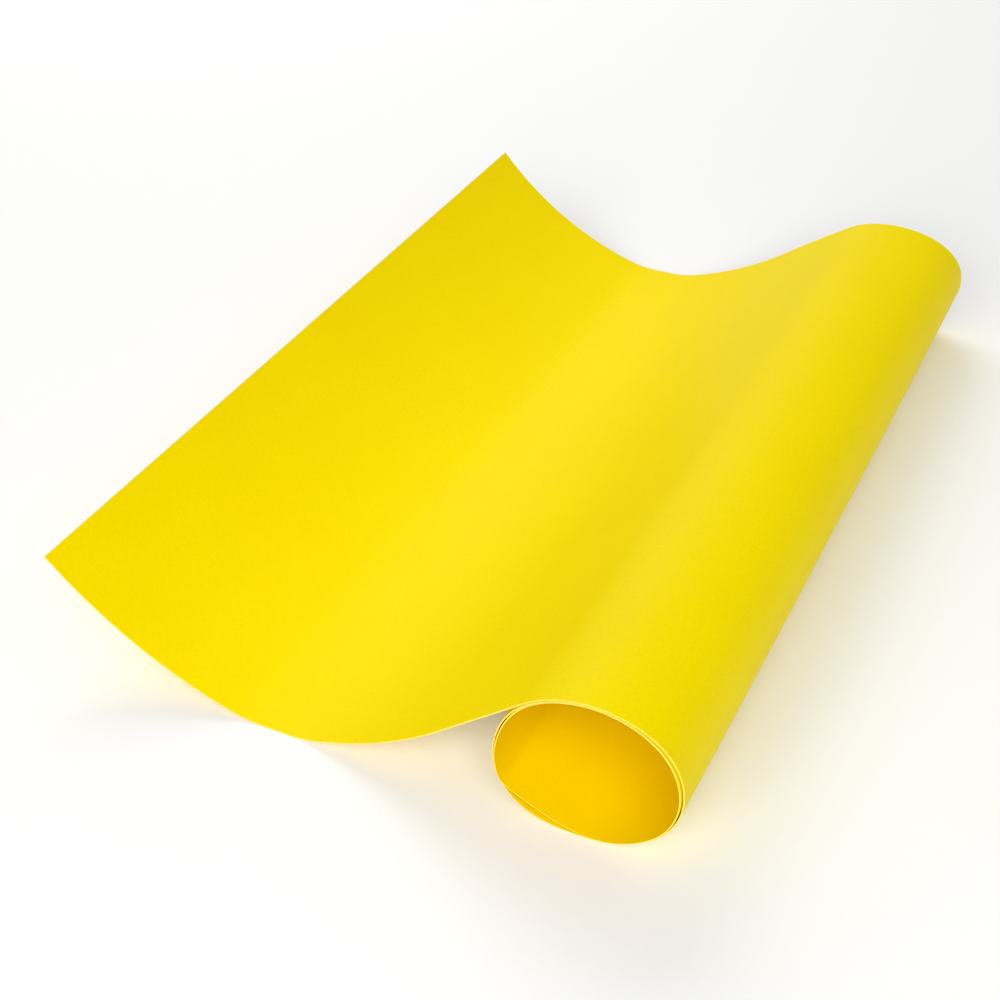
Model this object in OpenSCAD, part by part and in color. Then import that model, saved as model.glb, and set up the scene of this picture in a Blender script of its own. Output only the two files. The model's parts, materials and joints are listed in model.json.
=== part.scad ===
// A short roll of self-adhesive sign vinyl, part unrolled on a table.
// One web of three layers (release liner, adhesive, face film) runs from the curled leading edge,
// down to a strip that lies flat, up the rise, over the roll and round it to the tail inside.
// Millimetres, +Z up, table at Z = 0. The roll's axis is along Y and the leading edge is at -X.
// The web is cut into short stretches where it flexes; a hinge or a slide joins each to the next.

/* [Web] */
// Width of the vinyl between its two slit edges
web_w = 300; // [200:5:600]
// Thickness of the face film
film_t = 0.12; // [0.08:0.01:0.3]
// Thickness of the pressure-sensitive adhesive
adhesive_t = 0.03; // [0.02:0.01:0.1]
// Thickness of the release liner
liner_t = 0.2; // [0.1:0.01:0.4]

/* [Free sheet] */
// Width of the strip that lies flat on the table
laid_w = 8; // [4:1:30]
// Radius of the bend next to the flat strip, on the free side
hollow_r = 40; // [20:1:100]
// Slope at which that bend ends
hollow_angle = 17.5; // [10:0.5:30]
// Radius of the curl that the free end keeps from having been rolled
curl_r = 133; // [80:1:300]
// Slope of the leading edge
curl_angle = 47.5; // [35:0.5:70]

/* [Rise to the roll] */
// Radius of the bend next to the flat strip, on the roll side
foot_r = 33; // [20:1:80]
// Slope at which that bend ends
foot_angle = 15; // [8:0.5:20]
// Radius of the long bend above it
rise_r = 113; // [60:1:150]
// Slope of the straight run onto the roll
rise_angle = 38; // [32:0.5:45]
// Straight run that stays with the roll when the roll turns
shoulder_run = 14; // [12:1:18]

/* [Roll] */
// Half of the roll's longer width; the loose roll has sagged to an oval
roll_long = 27.8; // [24:0.1:40]
// Half of the roll's shorter width
roll_short = 23.5; // [22:0.1:36]
// Tilt of the longer width above the table
roll_tilt = 13; // [0:0.5:20]
// Turns from where the web meets the roll to the tail
roll_turns = 2.07; // [2.02:0.01:2.2]
// Air between one lap and the next
lap_gap = 0.3; // [0.3:0.05:0.8]
// How far the inner lap stands off the outer one at its slack spot
slack_depth = 2.6; // [0:0.1:4]
// How far the inner lap has slipped out of the near end
telescope = 1.2; // [0:0.1:4]

/* [Peeling and flexing] */
// Length of film that is peeled back from the leading edge
peel_len = 40; // [25:1:45]
// Length of the web's leading end, past the line where it curls
leading_len = 52; // [48:1:58]
// Clearance at each line where the web flexes
flex_gap = 0.2; // [0.1:0.05:0.4]

/* [Hidden] */
// Largest turn between two stations of a bend, and between two stations of a lap
BEND_STEP = 1.5;
LAP_STEP = 4;
web_t = liner_t + adhesive_t + film_t;
film_base = liner_t + adhesive_t;
lap_pitch = web_t + lap_gap;

// A station is [x, z, nx, nz]: a point on the underside of the liner, and the unit vector from
// there towards the film. A stretch of web is a list of stations.
function steps(from, to, step) =
    let (n = max(1, ceil(abs(to - from) / step)))
    [for (i = [0 : n]) from + (to - from) * i / n];
function reversed(list) = [for (i = [len(list) - 1 : -1 : 0]) list[i]];
function after_first(list) = [for (i = [1 : len(list) - 1]) list[i]];
function ease(u) = let (v = min(1, max(0, u))) v * v * (3 - 2 * v);

// Part of a bend of radius r that leaves point p at slope start: the stations with slopes from
// one value to another. side is -1 towards the leading edge and 1 towards the roll.
function bend(p, r, start, from, to, side) = [for (a = steps(from, to, BEND_STEP)) [
    p[0] + side * r * (sin(a) - sin(start)),
    p[1] + r * (cos(start) - cos(a)),
    -side * sin(a),
    cos(a)
]];
// Half of the clearance at a parting line, as an angle of a bend of radius r
function half_gap_on(r) = flex_gap / 2 / r * 180 / PI;

// Free side: the hollow next to the flat strip, then the long curl up to the leading edge
function hollow(from, to) = bend([-laid_w / 2, 0], hollow_r, 0, from, to, -1);
hollow_end = hollow(hollow_angle, hollow_angle)[0];
function curl(from, to) = bend(hollow_end, curl_r, hollow_angle, from, to, -1);
leading_slope = curl_angle - leading_len / curl_r * 180 / PI;
peel_slope = curl_angle - peel_len / curl_r * 180 / PI;

// Roll side: the foot next to the flat strip, the long bend, then a straight run onto the roll
function foot(from, to) = bend([laid_w / 2, 0], foot_r, 0, from, to, 1);
foot_end = foot(foot_angle, foot_angle)[0];
function long_bend(from, to) = bend(foot_end, rise_r, foot_angle, from, to, 1);
bend_end = long_bend(rise_angle, rise_angle)[0];
function run_station(d) = [
    bend_end[0] + d * cos(rise_angle),
    bend_end[1] + d * sin(rise_angle),
    -sin(rise_angle),
    cos(rise_angle)
];

// The roll is a tilted oval that rests on the table. land_t is the oval's angle where the web
// lands on it, and rest_t the angle where it touches the table.
land_t = atan2(roll_short * cos(rise_angle - roll_tilt), -roll_long * sin(rise_angle - roll_tilt));
rest_t = atan2(-roll_short * cos(roll_tilt), -roll_long * sin(roll_tilt));
rest_turn = land_t - rest_t;
roll_z = norm([roll_long * sin(roll_tilt), roll_short * cos(roll_tilt)]);
function tilted(v) = [
    v[0] * cos(roll_tilt) - v[1] * sin(roll_tilt),
    v[0] * sin(roll_tilt) + v[1] * cos(roll_tilt)
];
function oval(t) = tilted([roll_long * cos(t), roll_short * sin(t)]);
function oval_normal(t) =
    let (n = [cos(t) / roll_long, sin(t) / roll_short])
    tilted(n / norm(n));
landing = oval(land_t) - web_t * oval_normal(land_t);
run_len = (roll_z + landing[1] - bend_end[1]) / sin(rise_angle);
roll_x = bend_end[0] + run_len * cos(rise_angle) - landing[0];

// The laps. turn is the angle wound since the web met the roll. A lap keeps to the oval until it
// reaches the table, then moves in by one pitch before it passes under its own start.
// The second lap has a slack spot, low on the side towards the flat strip.
SLACK_FROM = 560;
SLACK_TO = 640;
function inset(turn) =
    lap_pitch * (floor(turn / 360) + ease((turn % 360 - rest_turn) / (360 - rest_turn)));
function slack(turn) =
    turn < SLACK_FROM || turn > SLACK_TO ? 0 :
    slack_depth * pow(sin(180 * (turn - SLACK_FROM) / (SLACK_TO - SLACK_FROM)), 2);
function lap_station(turn) =
    let (
        n = oval_normal(land_t - turn),
        p = [roll_x, roll_z] + oval(land_t - turn) - n * (inset(turn) + slack(turn) + web_t)
    )
    [p[0], p[1], n[0], n[1]];
function lap(from, to) = [for (a = steps(from, to, LAP_STEP)) lap_station(a)];

// The outer lap hands over to the inner one at this turn, on the side towards the flat strip
HAND_OVER = 290;

// The stretches of web, each from its end nearest the leading edge
peel_stretch = reversed(curl(peel_slope + half_gap_on(curl_r), curl_angle));
behind_peel_stretch = reversed(
    curl(leading_slope + half_gap_on(curl_r), peel_slope - half_gap_on(curl_r)));
leading_stretch = concat(peel_stretch, behind_peel_stretch);
free_stretch = reversed(
    curl(hollow_angle + half_gap_on(curl_r), leading_slope - half_gap_on(curl_r)));
laid_stretch = concat(
    reversed(hollow(0, hollow_angle - half_gap_on(hollow_r))),
    foot(0, foot_angle - half_gap_on(foot_r))
);
rise_stretch = concat(
    long_bend(foot_angle + half_gap_on(rise_r), rise_angle),
    [run_station(run_len - shoulder_run - flex_gap / 2)]
);
outer_stretch = concat(
    [run_station(run_len - shoulder_run + flex_gap / 2)],
    lap(0, rest_turn),
    after_first(lap(rest_turn, HAND_OVER - half_gap_on(roll_short)))
);
inner_stretch = lap(HAND_OVER + half_gap_on(roll_short), roll_turns * 360);

// The object is centred on the box round it, with the table at Z = 0
edge_x = [for (s = leading_stretch) each [s[0], s[0] + web_t * s[2]]];
roll_edge_x = [for (s = outer_stretch) s[0] + web_t * s[2]];
centre_x = (min(edge_x) + max(roll_edge_x)) / 2;
centre_y = telescope / 2;

// One layer of a stretch of web, between two heights above the underside of the liner
module layer(stretch, low, high) {
    underside = [for (s = stretch) [s[0] + low * s[2], s[1] + low * s[3]]];
    topside = [for (s = stretch) [s[0] + high * s[2], s[1] + high * s[3]]];
    translate([-centre_x, web_w / 2 + centre_y, 0])
        rotate([90, 0, 0])
            linear_extrude(height = web_w)
                polygon(concat(underside, reversed(topside)));
}
module film(stretch) color("#f6dc08") layer(stretch, film_base, web_t);
module adhesive(stretch) color("#e8d890") layer(stretch, liner_t, film_base);
module liner(stretch) color("#f0cf3a") layer(stretch, 0, liner_t);
// The inner lap stands out of the near end
module slipped() translate([0, -telescope, 0]) children();

// Leading end: the film peels back over the liner
module film_peel() film(peel_stretch);
module adhesive_peel() adhesive(peel_stretch);
module film_leading() film(behind_peel_stretch);
module adhesive_leading() adhesive(behind_peel_stretch);
module liner_leading() liner(leading_stretch);
// Free sheet between the leading end and the strip on the table
module film_free() film(free_stretch);
module adhesive_free() adhesive(free_stretch);
module liner_free() liner(free_stretch);
// The strip on the table, with the two bends that leave it
module film_laid() film(laid_stretch);
module adhesive_laid() adhesive(laid_stretch);
module liner_laid() liner(laid_stretch);
// The rise from the table to the roll
module film_rise() film(rise_stretch);
module adhesive_rise() adhesive(rise_stretch);
module liner_rise() liner(rise_stretch);
// The outer lap of the roll
module film_outer_lap() film(outer_stretch);
module adhesive_outer_lap() adhesive(outer_stretch);
module liner_outer_lap() liner(outer_stretch);
// The inner lap of the roll, to the tail
module film_inner_lap() slipped() film(inner_stretch);
module adhesive_inner_lap() slipped() adhesive(inner_stretch);
module liner_inner_lap() slipped() liner(inner_stretch);

film_peel();
adhesive_peel();
film_leading();
adhesive_leading();
liner_leading();
film_free();
adhesive_free();
liner_free();
film_laid();
adhesive_laid();
liner_laid();
film_rise();
adhesive_rise();
liner_rise();
film_outer_lap();
adhesive_outer_lap();
liner_outer_lap();
film_inner_lap();
adhesive_inner_lap();
liner_inner_lap();
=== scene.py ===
# The looks of a short roll of self-adhesive sign vinyl, part unrolled on a table.
# One web of three layers - clear release liner, adhesive, yellow face film - runs from the curled
# leading edge, over the strip that lies flat, up the rise and a little over twice round the roll.
# Metres, +Z up, the table at Z = 0; each piece is cut flat, then bent to the web's line.
import json
import math

import bmesh
import bpy
import numpy as np
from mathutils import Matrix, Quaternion, Vector


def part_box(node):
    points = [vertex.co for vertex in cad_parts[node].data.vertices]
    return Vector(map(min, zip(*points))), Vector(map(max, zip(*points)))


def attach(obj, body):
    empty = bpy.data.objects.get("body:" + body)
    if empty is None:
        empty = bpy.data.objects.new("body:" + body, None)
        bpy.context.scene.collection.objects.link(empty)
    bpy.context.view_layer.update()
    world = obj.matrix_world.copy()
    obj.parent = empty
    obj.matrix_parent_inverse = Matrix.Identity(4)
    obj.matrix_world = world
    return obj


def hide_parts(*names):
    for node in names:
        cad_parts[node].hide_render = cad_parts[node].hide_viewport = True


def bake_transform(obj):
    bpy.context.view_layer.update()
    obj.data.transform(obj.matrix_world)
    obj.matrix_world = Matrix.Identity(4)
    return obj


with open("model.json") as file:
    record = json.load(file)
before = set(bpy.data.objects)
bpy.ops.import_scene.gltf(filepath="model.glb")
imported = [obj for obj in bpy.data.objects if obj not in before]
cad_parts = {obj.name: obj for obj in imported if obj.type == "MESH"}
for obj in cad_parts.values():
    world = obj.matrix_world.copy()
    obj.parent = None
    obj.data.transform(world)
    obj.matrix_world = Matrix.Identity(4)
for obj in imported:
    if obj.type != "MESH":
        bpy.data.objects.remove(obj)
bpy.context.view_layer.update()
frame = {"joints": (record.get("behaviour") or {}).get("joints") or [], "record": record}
MM = 0.001


# ---------------------------------------------------------------- Camera
# A short telephoto held above the near end of the roll, looking down across the sheet.
CAMERA_AT = Vector((187.02, -420.74, 323.13)) * MM
CAMERA_AZIMUTH, CAMERA_ELEVATION, CAMERA_ROLL = 27.01, 35.88, -1.58
CAMERA_LENS, CAMERA_SENSOR = 58.79, 36.0

azimuth, elevation = math.radians(CAMERA_AZIMUTH), math.radians(CAMERA_ELEVATION)
towards_lens = Vector((math.sin(azimuth) * math.cos(elevation),
                       -math.cos(azimuth) * math.cos(elevation), math.sin(elevation)))
camera = bpy.data.objects.new("camera", bpy.data.cameras.new("camera"))
camera.data.lens = CAMERA_LENS
camera.data.sensor_width = CAMERA_SENSOR
camera.location = CAMERA_AT
camera.rotation_mode = "QUATERNION"
camera.rotation_quaternion = ((-towards_lens).to_track_quat("-Z", "Y")
                              @ Quaternion((0, 0, 1), math.radians(CAMERA_ROLL)))
bpy.context.scene.collection.objects.link(camera)
bpy.context.scene.camera = camera


# ---------------------------------------------------------------- The web's line
# The line that the underside of the liner follows, as a roll that was wound tight takes it when
# its end is let go: arcs down to the table and up again, then laps round a sagged oval.
LINER_T, ADHESIVE_T, FILM_T = 0.20 * MM, 0.03 * MM, 0.12 * MM
WEB_T = LINER_T + ADHESIVE_T + FILM_T
FLAT_HALF = 4 * MM                                   # half of the strip that lies on the table
HOLLOW_R, HOLLOW_SLOPE = 40 * MM, math.radians(17.5)
CURL_R, CURL_SLOPE = 133 * MM, math.radians(47.5)
FOOT_R, FOOT_SLOPE = 33 * MM, math.radians(15)
RISE_R, RISE_SLOPE = 113 * MM, math.radians(38)
STATION_STEP = 1 * MM                                # between the stations of an arc
OVAL_LONG, OVAL_SHORT, OVAL_TILT = 27.8 * MM, 23.5 * MM, math.radians(13)
FULL_TURN, TURNS = 2 * math.pi, 2.07
STATIONS_PER_TURN = 360
LAP_PITCH = WEB_T + 0.34 * MM                        # the laps lie loose, a little apart

# The inner lap stands off the outer one in a crescent that is deepest late in its length.
SLACK_DEPTH, SLACK_FROM, SLACK_TO = 3.4 * MM, math.radians(554), math.radians(643)
SLACK_LATE, SLACK_POINTED = 1.8, 1.2
# Where the roll has slumped in from its oval, or out past it if the depth is below 0: the middle
# and half the width of each slump, in degrees of turn from the landing, and its depth.
SLUMPS = ((130, 50, 0.8 * MM), (260, 36, -1.0 * MM), (322, 40, 0.9 * MM))
HAND_OVER = math.radians(290)                        # where the outer lap becomes the inner one

pivot = {j["name"]: Vector(j["pos_m"]) for j in frame["joints"] if j["type"] == "hinge"}
flat_x = [m for m in frame["record"]["mounts"] if m["name"] == "table_rest"][0]["pos_m"][0]
near_y, far_y = (corner.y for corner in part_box("liner_laid"))
roll_at = pivot["roll_turn"]


def ease(u):
    """0 before 0, 1 after 1, and smooth between."""
    u = np.clip(u, 0, 1)
    return u * u * (3 - 2 * u)


def arc(corner, radius, first, last, side):
    """Stations (x, z and normal) from corner, sloping from first to last; side -1 goes left."""
    slopes = np.linspace(first, last, 2 + int(radius * (last - first) / STATION_STEP))
    return [(corner[0] + side * radius * (math.sin(a) - math.sin(first)),
             corner[1] + radius * (math.cos(first) - math.cos(a)),
             -side * math.sin(a), math.cos(a)) for a in slopes]


def oval(angle):
    """Point and outward normal of the sagged oval, from the roll's centre."""
    tilt, along, across = OVAL_TILT, math.cos(angle), math.sin(angle)
    normal = Vector((along / OVAL_LONG, across / OVAL_SHORT)).normalized()
    return [Vector((v[0] * math.cos(tilt) - v[1] * math.sin(tilt),
                    v[0] * math.sin(tilt) + v[1] * math.cos(tilt)))
            for v in ((OVAL_LONG * along, OVAL_SHORT * across), normal)]


# The angle of the oval at which the rise lands on it, and the turn from there to its lowest point.
landing = math.atan2(OVAL_SHORT * math.cos(RISE_SLOPE - OVAL_TILT),
                     -OVAL_LONG * math.sin(RISE_SLOPE - OVAL_TILT))
rest_turn = landing - math.atan2(-OVAL_SHORT * math.cos(OVAL_TILT),
                                 -OVAL_LONG * math.sin(OVAL_TILT))


def lap(turn):
    """Station of the laps after the web has wound through turn."""
    lap_share = (turn % FULL_TURN - rest_turn) / (FULL_TURN - rest_turn)
    inset = LAP_PITCH * (turn // FULL_TURN + ease(lap_share))
    slack_share = np.clip((turn - SLACK_FROM) / (SLACK_TO - SLACK_FROM), 0, 1)
    inset += SLACK_DEPTH * math.sin(math.pi * slack_share ** SLACK_LATE) ** SLACK_POINTED
    for middle, half, depth in SLUMPS:
        inset += depth * ease(1 - abs(math.degrees(turn % FULL_TURN) - middle) / half)
    point, normal = oval(landing - turn)
    point = point - normal * (inset + WEB_T)
    return roll_at.x + point.x, roll_at.z + point.y, normal.x, normal.y


lap_turns = np.linspace(0, TURNS * FULL_TURN, int(TURNS * STATIONS_PER_TURN))
hollow = arc((flat_x - FLAT_HALF, 0), HOLLOW_R, 0, HOLLOW_SLOPE, -1)
curl = arc(hollow[-1], CURL_R, HOLLOW_SLOPE, CURL_SLOPE, -1)
foot = arc((flat_x + FLAT_HALF, 0), FOOT_R, 0, FOOT_SLOPE, 1)
rise = arc(foot[-1], RISE_R, FOOT_SLOPE, RISE_SLOPE, 1)
before_laps = curl[::-1] + hollow[-2::-1] + foot + rise[1:]
line = np.array(before_laps + [lap(turn) for turn in lap_turns])
run = np.append(0, np.cumsum(np.hypot(*np.diff(line[:, :2], axis=0).T)))
lap_run = run[len(before_laps):]
valley_run = np.interp(flat_x, line[:len(before_laps), 0], run[:len(before_laps)])


def run_at_x(x):
    """Distance from the leading edge at which the open sheet passes over x."""
    return float(np.interp(x, line[:len(before_laps) + 1, 0], run[:len(before_laps) + 1]))


def run_at_turn(turn):
    """Distance from the leading edge at which the laps have wound through turn."""
    return float(np.interp(turn, lap_turns, lap_run))


# The roll was let go unevenly: towards its far end it has sagged flatter and crept back, and the
# free corner there curls a little more. The change grows along the width.
FAR_SAG, FAR_CREEP, FAR_CURL = 0.165, 3.5 * MM, 0.0245
FAR_SPREAD = 1.8 * MM                                # the flatter oval is longer, away from the sheet
SAG_FULL = 10 * MM                                   # the sag is full this far past the roll's axis
OUT_CREEP, OUT_FROM, OUT_TO = 1.0 * MM, math.radians(400), math.radians(480)
IN_CREEP, IN_FROM = 2.0 * MM, math.radians(640)


def creep(turn):
    """How far the laps stand out at the near end: the inner lap does, and its tail slid back in."""
    return OUT_CREEP * ease((turn - OUT_FROM) / (OUT_TO - OUT_FROM)) - (
        IN_CREEP * ease((turn - IN_FROM) / (lap_turns[-1] - IN_FROM)))


def bent(distance, across, height):
    """Where a point of the flat web lies: distance from the leading edge, across, and height."""
    x, z, nx, nz = (np.interp(distance, run, line[:, k]) for k in range(4))
    x, z = x + height * nx, z + height * nz
    turn = np.interp(distance, lap_run, lap_turns)
    y = across - creep(turn)
    far = (across - near_y) / (far_y - near_y)
    to_roll = ease((x - flat_x) / (roll_at.x - flat_x + SAG_FULL)) * far
    spread = FAR_SPREAD * far * (2 - far) * np.clip((x - roll_at.x) / OVAL_LONG, 0, 1) ** 2
    x, z = x - FAR_CREEP * to_roll + spread, z * (1 - FAR_SAG * to_roll)
    extra = FAR_CURL * far * np.clip(1 - distance / valley_run, 0, 1)
    x, z = (flat_x + (x - flat_x) * math.cos(extra) + z * math.sin(extra),
            z * math.cos(extra) - (x - flat_x) * math.sin(extra))
    return Vector((x, y, z))


def on_web(distance):
    """A point on the middle of the web's width."""
    return bent(distance, 0, 0)


def level(point):
    """The same point at the table, so that a bend depends on X alone."""
    return Vector((point.x, 0, 0))


# ---------------------------------------------------------------- Cutting and bending a layer
# A layer of the web is slit flat, as on the slitter, with square edges. It is one sheet of quads
# on each side; only then is it bent to the line.
STEP, ROWS = 1.2 * MM, 24
SEAM_STEP = 0.15 * MM                                # narrow quads keep the shading even at a seam
FRONT, BACK, EDGE = range(3)


def cut(name, start, stop, low, high, inset, materials):
    """One stretch of one layer, between two distances and two heights, less inset each side."""
    bm = bmesh.new()
    uv = bm.loops.layers.uv.new("web")
    along = max(2, round((stop - start) / STEP))
    bmesh.ops.create_grid(bm, x_segments=along, y_segments=ROWS, size=0.5)
    bmesh.ops.scale(bm, vec=(stop - start, far_y - near_y - 2 * inset, 1), verts=bm.verts)
    bmesh.ops.translate(bm, vec=((start + stop) / 2, (near_y + far_y) / 2, low), verts=bm.verts)
    for seam in (start + SEAM_STEP, stop - SEAM_STEP):
        bmesh.ops.bisect_plane(bm, geom=bm.verts[:] + bm.edges[:] + bm.faces[:],
                               plane_co=(seam, 0, 0), plane_no=(1, 0, 0))
    top = bmesh.ops.extrude_face_region(bm, geom=bm.faces[:])["geom"]
    lifted = [v for v in top if isinstance(v, bmesh.types.BMVert)]
    bmesh.ops.translate(bm, vec=(0, 0, high - low), verts=lifted)
    bmesh.ops.recalc_face_normals(bm, faces=bm.faces)
    for face in bm.faces:
        face.smooth = True
        side = FRONT if face.normal.z > 0 else BACK
        face.material_index = EDGE if abs(face.normal.z) < 0.5 else side
        for loop in face.loops:
            loop[uv].uv = loop.vert.co.xy
    for edge in bm.edges:
        edge.smooth = len({face.material_index for face in edge.link_faces}) == 1
    for vert in bm.verts:
        vert.co = bent(*vert.co)
    mesh = bpy.data.meshes.new(name)
    bm.to_mesh(mesh)
    bm.free()
    piece = bpy.data.objects.new(name, mesh)
    bpy.context.scene.collection.objects.link(piece)
    for material in materials:
        mesh.materials.append(material)
    return piece


BEND_HALF = 8 * MM                                   # a bend is spread this far to both sides
CURL_BEND_HALF, LIFT_BEND = 0.9 * BEND_HALF, 2 * BEND_HALF
RISE_SHORT = 14 * MM                                 # the rise stops this far short of the roll
BEND_CLEAR, HAND_OVER_CLEAR = 2 * MM, 8 * MM         # a long bend stays this far inside its stretch

tail_run = float(run[-1])
peel_run = run_at_x(pivot["film_peel_back"].x)
free_pivot, curl_pivot = run_at_x(pivot["free_end_bend"].x), run_at_x(pivot["leading_end_curl"].x)
mid_free = run_at_x((pivot["free_end_bend"].x + pivot["leading_end_curl"].x) / 2)
lift_pivot, landing_run = run_at_x(pivot["roll_lift"].x), run_at_turn(0)
mid_rise = (lift_pivot + (landing_run - RISE_SHORT)) / 2
bottom, hand_over = run_at_turn(rest_turn), run_at_turn(HAND_OVER)


def stretches(leading_start):
    """The stretches of a layer that starts at leading_start, in the order of the web.

    Each lies on one body, or between two: its name, where it starts and stops, the two
    bodies, and where the bending starts and ends.
    """
    return [
        ("leading", leading_start, mid_free, "free_end", "leading_end",
         on_web(curl_pivot + CURL_BEND_HALF), on_web(curl_pivot - CURL_BEND_HALF)),
        ("free", mid_free, valley_run, "laid_strip", "free_end",
         on_web(free_pivot + BEND_HALF), on_web(free_pivot - BEND_HALF)),
        ("foot", valley_run, mid_rise, "laid_strip", "rise",
         on_web(lift_pivot - BEND_HALF), on_web(lift_pivot + LIFT_BEND)),
        ("outer_lap", mid_rise, bottom, "rise", "outer_lap",
         level(on_web(mid_rise + BEND_CLEAR)), level(on_web(landing_run - BEND_CLEAR))),
        ("under_lap", bottom, hand_over, "outer_lap", "inner_lap",
         level(on_web(bottom + BEND_CLEAR)), level(on_web(hand_over - HAND_OVER_CLEAR))),
        ("inner_lap", hand_over, tail_run, "inner_lap", None, None, None),
    ]


# The CAD nodes that a stretch stands for; the under lap belongs to the outer lap's.
STANDS_FOR = {"leading": ["leading"], "free": ["free"], "foot": ["laid", "rise"],
              "outer_lap": ["outer_lap"], "inner_lap": ["inner_lap"]}


def lay(layer, low, high, inset, slot, materials, leading_start):
    """Cuts a layer's stretches, and hides the CAD solids they stand for; only a stretch on a single
    body is hung on it.
    """
    for stretch, start, stop, body, next_body, bend_from, bend_to in stretches(leading_start):
        piece = cut(f"{layer}_sheet_{stretch}", start + (inset if start == 0 else 0),
                    stop - (inset if stop == tail_run else 0), low, high, inset, materials)
        if next_body:
            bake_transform(piece)
        else:
            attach(piece, body)
        for node in STANDS_FOR.get(stretch, []):
            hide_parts(f"{layer}_{node}")


# ---------------------------------------------------------------- Sheet plastics
# All three layers are smooth sheet plastics. What tells them apart is their colour, their gloss
# and the size of their grain, which is laid out on the flat web and so bends with it.
CLOUD, CLOUD_SHARE = 45 * MM, 0.3                    # slow drift of the shade along a sheet
NOISE_LOW, NOISE_HIGH = 0.22, 0.78                   # the noise values that give the two colours
ROUGHNESS_SPREAD, COAT_ROUGHNESS = 0.05, 0.25
MICRON = MM / 1000


def linear(hex_colour):
    """sRGB hex to the linear RGBA that a socket takes."""
    parts = [int(hex_colour[k:k + 2], 16) / 255 for k in (1, 3, 5)]
    return [c / 12.92 if c <= 0.04045 else ((c + 0.055) / 1.055) ** 2.4 for c in parts] + [1]


def add(tree, kind, settings=None, **links):
    """Adds a node. A link is named for its socket, with _ for a space, or _ and the socket's
    place; its value is a number, a colour, or another node's output."""
    made = tree.nodes.new(kind)
    for key, value in (settings or {}).items():
        setattr(made, key, value)
    for key, value in links.items():
        place = key[1:]
        socket = made.inputs[int(place) if place.isdigit() else key.replace("_", " ")]
        if isinstance(value, bpy.types.NodeSocket):
            tree.links.new(value, socket)
        else:
            socket.default_value = value
    return made


def plastic(name, low_hex, high_hex, roughness, ior, grain_mm, grain_um, coat=0.0,
            tint="#FFFFFF", gloss=0.5):
    """A sheet plastic: a shade between two colours, and a grain of that width and depth."""
    material = bpy.data.materials.new(name)
    material.use_nodes = True
    tree = material.node_tree
    tree.nodes.clear()
    flat = add(tree, "ShaderNodeUVMap", {"uv_map": "web"}).outputs[0]
    cloud = add(tree, "ShaderNodeTexNoise", Vector=flat, Scale=1 / CLOUD, Detail=2.0)
    grain = add(tree, "ShaderNodeTexNoise", Vector=flat, Scale=1 / (grain_mm * MM), Detail=3.0)
    mixed = add(tree, "ShaderNodeMix", Factor=CLOUD_SHARE, A=grain.outputs[0], B=cloud.outputs[0])
    colour = add(tree, "ShaderNodeMapRange", _0=mixed.outputs[0], _1=NOISE_LOW, _2=NOISE_HIGH)
    ramp = add(tree, "ShaderNodeMix", {"data_type": "RGBA"}, _0=colour.outputs[0],
               _6=linear(low_hex), _7=linear(high_hex))
    rough = add(tree, "ShaderNodeMapRange", _0=mixed.outputs[0], _1=NOISE_LOW, _2=NOISE_HIGH,
                _3=roughness - ROUGHNESS_SPREAD, _4=roughness + ROUGHNESS_SPREAD)
    bump = add(tree, "ShaderNodeBump", Height=grain.outputs[0], Strength=1.0,
               Distance=grain_um * MICRON)
    shader = add(tree, "ShaderNodeBsdfPrincipled", Base_Color=ramp.outputs[2],
                 Roughness=rough.outputs[0], Normal=bump.outputs[0], IOR=ior)
    shader.inputs["Specular Tint"].default_value = linear(tint)
    shader.inputs["Specular IOR Level"].default_value = gloss
    shader.inputs["Coat Weight"].default_value = coat
    shader.inputs["Coat Roughness"].default_value = COAT_ROUGHNESS
    output = add(tree, "ShaderNodeOutputMaterial")
    tree.links.new(shader.outputs[0], output.inputs[0])
    return material


# ---------------------------------------------------------------- Release liner
# Clear polyester film, drawn smooth, with a silicone coat. It is the back of the web, and the
# yellow of the film shows through it. Bare, under the flap, it is paler and shiny; where it is
# slit it is dull and a deeper gold.
liner_back = plastic("polyester_liner_back", low_hex="#F8D000", high_hex="#FBDE00",
                     roughness=0.38, ior=1.6, grain_mm=0.8, grain_um=3,
                     tint="#FFD800", gloss=0.35)
liner_face = plastic("silicone_release_face", low_hex="#F4DE6E", high_hex="#F8E48A",
                     roughness=0.22, ior=1.45, grain_mm=0.6, grain_um=2, coat=0.4)
liner_edge = plastic("slit_edge", low_hex="#F0BE34", high_hex="#F3C848",
                     roughness=0.55, ior=1.5, grain_mm=0.3, grain_um=8)

lay("liner", 0, LINER_T, 0, "liner", [liner_face, liner_back, liner_edge], leading_start=0)


# ---------------------------------------------------------------- Adhesive
# A clear acrylic adhesive, 0.03 mm thick, that stays on the film when the liner is pulled away.
# It is wet and glossy, and shows only where the film is peeled back and in a hair line at an edge.
ADHESIVE_INSET = 0.05 * MM
adhesive_wet = plastic("acrylic_adhesive", low_hex="#F0DE8A", high_hex="#F6E8A6",
                       roughness=0.12, ior=1.47, grain_mm=1.4, grain_um=6, coat=0.6)

ADHESIVE = ("adhesive", LINER_T, LINER_T + ADHESIVE_T, ADHESIVE_INSET, "adhesive",
            [adhesive_wet] * 3)
lay(*ADHESIVE, leading_start=peel_run)


# ---------------------------------------------------------------- Face film
# Calendered soft PVC, pigmented yellow all through, with a satin face. The calender leaves a fine
# even grain; the film has shrunk a little from the slit edges, so a pale line of liner shows there.
FILM_INSET = 0.15 * MM
film_face = plastic("calendered_vinyl_face", low_hex="#F6D900", high_hex="#FDE600",
                    roughness=0.5, ior=1.53, grain_mm=1.1, grain_um=8,
                    tint="#FFD800", gloss=0.06)
film_edge = plastic("slit_vinyl_edge", low_hex="#F0C420", high_hex="#F4CC30",
                    roughness=0.5, ior=1.53, grain_mm=0.3, grain_um=6)

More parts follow.
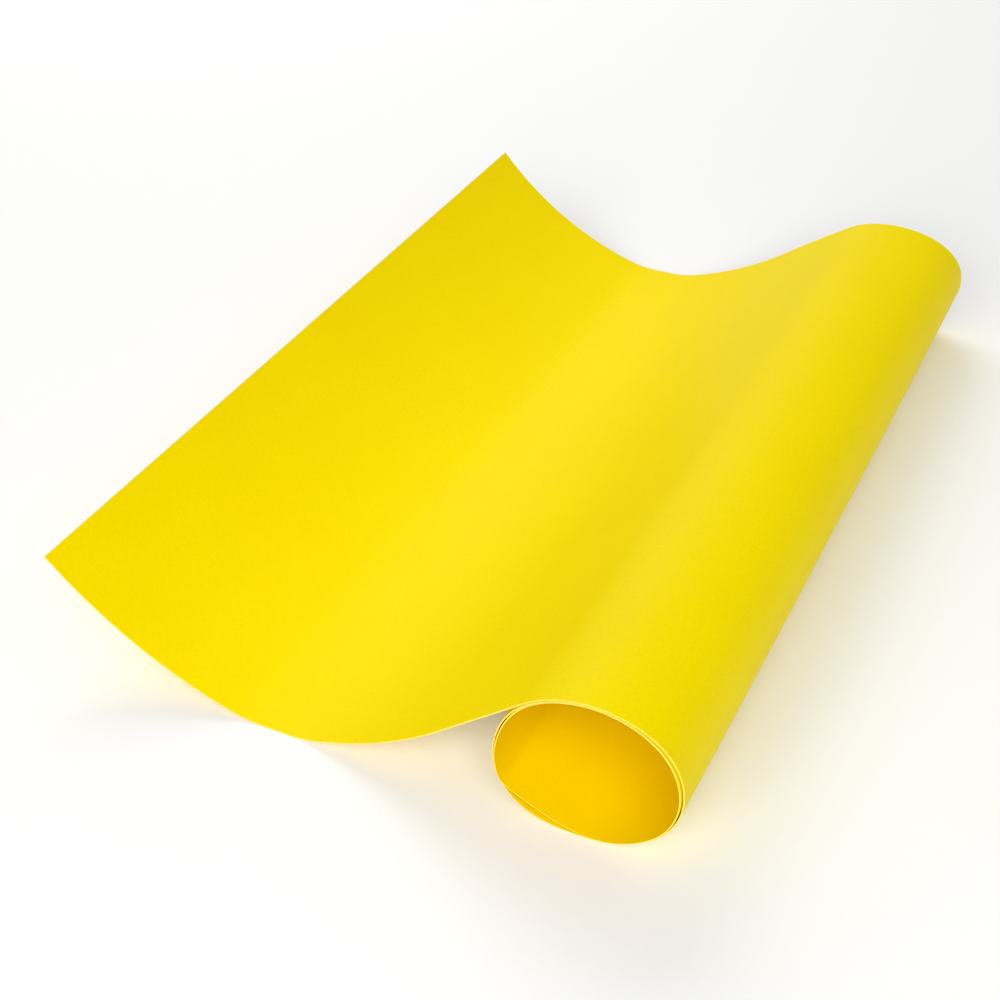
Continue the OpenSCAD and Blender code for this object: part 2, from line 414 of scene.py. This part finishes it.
FILM = ("film", LINER_T + ADHESIVE_T, WEB_T, FILM_INSET, "face_film",
        [film_face, film_face, film_edge])
lay(*FILM, leading_start=peel_run)


# ---------------------------------------------------------------- The flap
# The leading end of the film, with the adhesive on its back, cut as its own piece up to the
# film_peel_back hinge. Nothing but the adhesive holds it to the liner.
for layer, low, high, inset, slot, materials in (ADHESIVE, FILM):
    flap = cut(f"{layer}_sheet_flap", inset, peel_run, low, high, inset, materials)
    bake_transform(flap)
    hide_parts(f"{layer}_peel")


# ---------------------------------------------------------------- Table and light
# A white laminate table top that runs out of sight, in a dim white room. A large soft box stands
# in front, a smaller and weaker one high on the right, and a faint one on the far left.
FLOOR_HALF = 6.0
bm = bmesh.new()
bmesh.ops.create_grid(bm, x_segments=1, y_segments=1, size=FLOOR_HALF)
floor_mesh = bpy.data.meshes.new("table")
bm.to_mesh(floor_mesh)
bm.free()
floor = bpy.data.objects.new("table", floor_mesh)
bpy.context.scene.collection.objects.link(floor)
paint = bpy.data.materials.new("white_laminate")
paint.use_nodes = True
paint_shader = paint.node_tree.nodes["Principled BSDF"]
paint_shader.inputs["Base Color"].default_value = linear("#FCFCFB")
paint_shader.inputs["Roughness"].default_value = 0.7
paint_shader.inputs["Specular IOR Level"].default_value = 0.2
floor_mesh.materials.append(paint)

scene = bpy.context.scene
scene.view_settings.view_transform = "Standard"
room = bpy.data.worlds.new("room")
room.use_nodes = True
room.node_tree.nodes["Background"].inputs["Color"].default_value = (1, 1, 1, 1)
room.node_tree.nodes["Background"].inputs["Strength"].default_value = 0.24
scene.world = room


def soft_box(name, at, aim, size, watts):
    """A square area light of that size, at a point, aimed at another."""
    lamp = bpy.data.lights.new(name, "AREA")
    lamp.shape = "SQUARE"
    lamp.size = size
    lamp.energy = watts
    box = bpy.data.objects.new(name, lamp)
    box.location = at
    box.rotation_mode = "QUATERNION"
    box.rotation_quaternion = (Vector(aim) - Vector(at)).to_track_quat("-Z", "Y")
    scene.collection.objects.link(box)


ROLL_END = (0.05, -0.1, 0.02)
soft_box("soft_box_front", at=(0.1, -2.5, 0.95), aim=ROLL_END, size=1.9, watts=59)
soft_box("soft_box_right", at=(0.8, -1.4, 1.3), aim=ROLL_END, size=1.2, watts=19)
soft_box("soft_box_far_left", at=(-0.7, 0.9, 0.9), aim=(0, 0, 0), size=1.0, watts=9.5)
